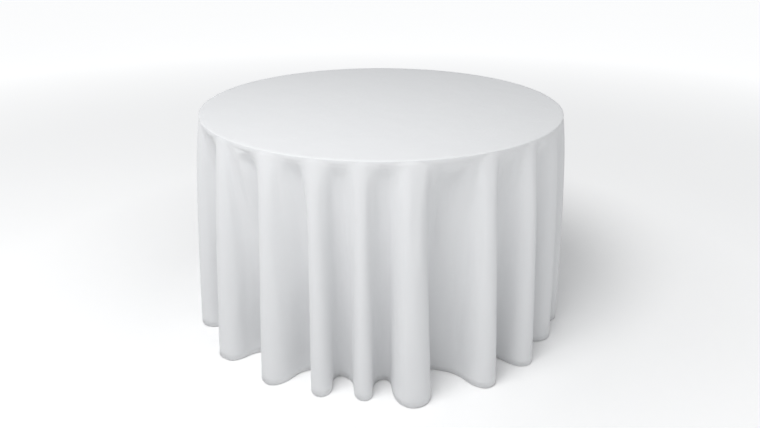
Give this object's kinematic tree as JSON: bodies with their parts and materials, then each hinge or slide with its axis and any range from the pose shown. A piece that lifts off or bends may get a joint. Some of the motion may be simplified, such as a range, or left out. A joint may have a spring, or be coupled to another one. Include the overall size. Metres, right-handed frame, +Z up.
{
  "type": "round table with a tablecloth",
  "caption": "Round folding table with steel tube leg frames and folding stays, under a floor-length white cloth that hangs in deep soft folds.",
  "frame": {"origin": "on the floor under the middle of the table", "axes": "+Z up, -Y the front, the leg hinges run along X and the folding stays lie in the YZ plane"},
  "size_m": [1.3592, 1.3634, 0.7393],
  "materials": {
    "cloth": "matt plain-weave white polyester",
    "thread": "white spun polyester sewing thread",
    "plywood": "birch plywood, sanded and sealed",
    "laminate": "satin high-pressure laminate",
    "backing": "matt brown backing sheet",
    "edging": "matt black bumper edging",
    "hardwood": "planed beech",
    "zinc_steel": "zinc plated",
    "coated_steel": "dark grey powder coat",
    "foot_rubber": "matt black moulded rubber"
  },
  "bodies": {
    "table_top": {"table_top": "plywood", "face_laminate": "laminate", "backing_laminate": "backing", "edge_band": "edging", "runner_left": "hardwood", "runner_right": "hardwood", "runner_screws": "zinc_steel", "hinge_bracket_front_left": "zinc_steel", "hinge_bracket_front_right": "zinc_steel", "hinge_bracket_back_left": "zinc_steel", "hinge_bracket_back_right": "zinc_steel", "hinge_bracket_screws": "zinc_steel", "stay_bracket_front": "zinc_steel", "stay_bracket_back": "zinc_steel", "stay_bracket_screws": "zinc_steel", "tablecloth": "cloth", "hem_band": "cloth", "hem_thread": "thread"},
    "leg_frame_front": {"pivot_bar_front": "coated_steel", "leg_front_left": "coated_steel", "leg_front_right": "coated_steel", "cross_tube_front": "coated_steel", "foot_front_left": "foot_rubber", "foot_front_right": "foot_rubber", "stay_tab_front": "coated_steel"},
    "leg_frame_back": {"pivot_bar_back": "coated_steel", "leg_back_left": "coated_steel", "leg_back_right": "coated_steel", "cross_tube_back": "coated_steel", "foot_back_left": "foot_rubber", "foot_back_right": "foot_rubber", "stay_tab_back": "coated_steel"},
    "stay_upper_front": {"stay_upper_front": "zinc_steel"},
    "stay_lower_front": {"stay_lower_front": "zinc_steel"},
    "stay_upper_back": {"stay_upper_back": "zinc_steel"},
    "stay_lower_back": {"stay_lower_back": "zinc_steel"}
  },
  "joints": [
    {"name": "front_leg_fold", "type": "hinge", "parent": "table_top", "child": "leg_frame_front", "pos_m": [0, -0.32, 0.688], "axis": [1, 0, 0], "range_deg": [0, 92]},
    {"name": "back_leg_fold", "type": "hinge", "parent": "table_top", "child": "leg_frame_back", "pos_m": [0, 0.32, 0.688], "axis": [-1, 0, 0], "range_deg": [0, 87]},
    {"name": "front_upper_stay", "type": "hinge", "parent": "table_top", "child": "stay_upper_front", "pos_m": [0, -0.07, 0.688], "axis": [-1, 0, 0], "range_deg": [0, 44.5]},
    {"name": "front_lower_stay", "type": "hinge", "parent": "leg_frame_front", "child": "stay_lower_front", "pos_m": [0, -0.32872, 0.43815], "axis": [1, 0, 0], "range_deg": [0, 44.5]},
    {"name": "back_upper_stay", "type": "hinge", "parent": "table_top", "child": "stay_upper_back", "pos_m": [0, 0.07, 0.688], "axis": [1, 0, 0], "range_deg": [0, 44.5]},
    {"name": "back_lower_stay", "type": "hinge", "parent": "leg_frame_back", "child": "stay_lower_back", "pos_m": [0, 0.32872, 0.43815], "axis": [-1, 0, 0], "range_deg": [0, 44.5]}
  ],
  "couplings": [
    {"joint": "front_upper_stay", "follows": "front_leg_fold", "ratio": 0.47826},
    {"joint": "front_lower_stay", "follows": "front_leg_fold", "ratio": 0.47826},
    {"joint": "back_upper_stay", "follows": "back_leg_fold", "ratio": 0.49452},
    {"joint": "back_lower_stay", "follows": "back_leg_fold", "ratio": 0.49452}
  ]
}
